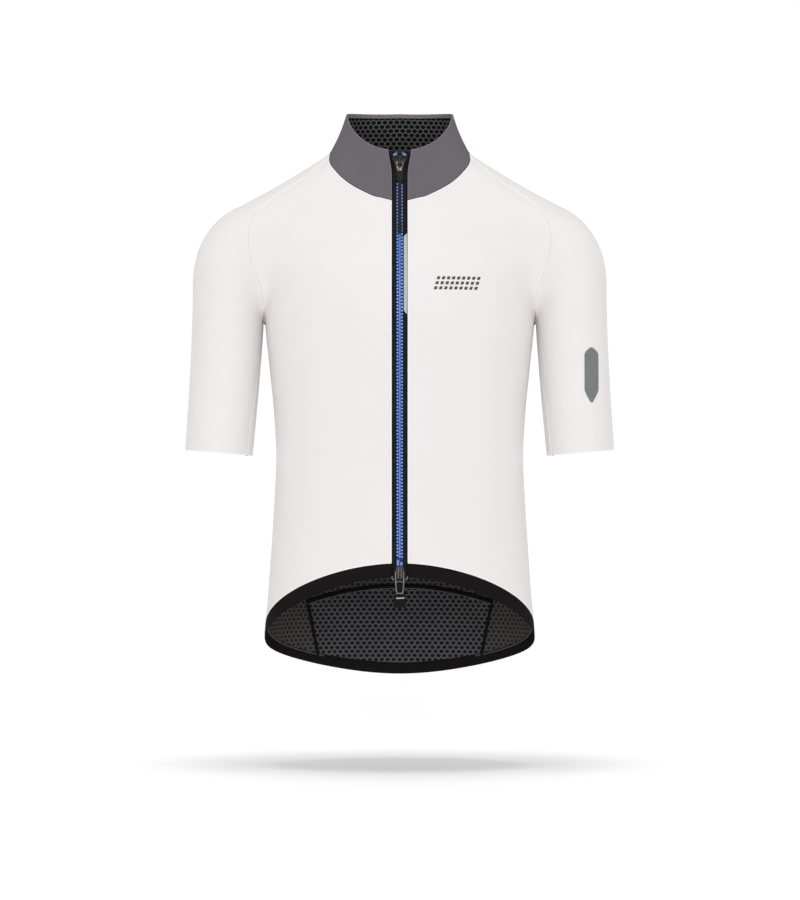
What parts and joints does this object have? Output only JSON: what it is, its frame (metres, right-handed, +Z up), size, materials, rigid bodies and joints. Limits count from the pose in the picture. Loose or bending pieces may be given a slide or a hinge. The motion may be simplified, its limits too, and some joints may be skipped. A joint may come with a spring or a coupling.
{
  "type": "cycling jersey",
  "caption": "Short-sleeved cycling jersey, filled out as worn: raglan sleeves, grey stand collar, two-way front zip, black hem bands dropping at the back, rear pocket.",
  "frame": {"origin": "the middle of the neck hole, level with the points where the shoulders meet the collar, where the wearer's neck and shoulders hold the jersey", "axes": "+X towards the wearer's left, the front faces -Y, +Z up along the neck"},
  "size_m": [0.5564, 0.2389, 0.741],
  "materials": {
    "shell": "smooth knit",
    "collar": "matt woven",
    "band": "matt elastic",
    "tape": "matt woven tape",
    "chain": "satin",
    "slider": "dark metallic",
    "slider_black": "black satin",
    "puller": "soft moulded",
    "webbing": "woven webbing",
    "ribbon": "ribbed tape"
  },
  "bodies": {
    "garment": {"front_left": "shell", "front_right": "shell", "back": "shell", "sleeve_left": "shell", "sleeve_right": "shell", "collar": "collar", "hem_band_front_left": "band", "hem_band_front_right": "band", "hem_band_back": "band", "rear_pocket": "shell", "zip_tape_left": "tape", "zip_tape_right": "tape", "zip_chain": "chain", "zip_ribbon": "ribbon", "zip_stop_left": "chain", "zip_stop_right": "chain", "zip_top_slider": "slider", "zip_bottom_slider": "slider_black"},
    "top_pull": {"zip_top_pull": "slider", "zip_top_puller": "puller"},
    "bottom_pull": {"zip_bottom_pull": "slider", "zip_bottom_webbing": "webbing"}
  },
  "joints": [
    {"name": "top_pull_hinge", "type": "hinge", "parent": "garment", "child": "top_pull", "pos_m": [0, -0.06918, -0.01339], "axis": [-1, 0, 0], "range_deg": [0, 150]},
    {"name": "bottom_pull_hinge", "type": "hinge", "parent": "garment", "child": "bottom_pull", "pos_m": [0, -0.11564, -0.53383], "axis": [-1, 0, 0], "range_deg": [0, 150]}
  ]
}
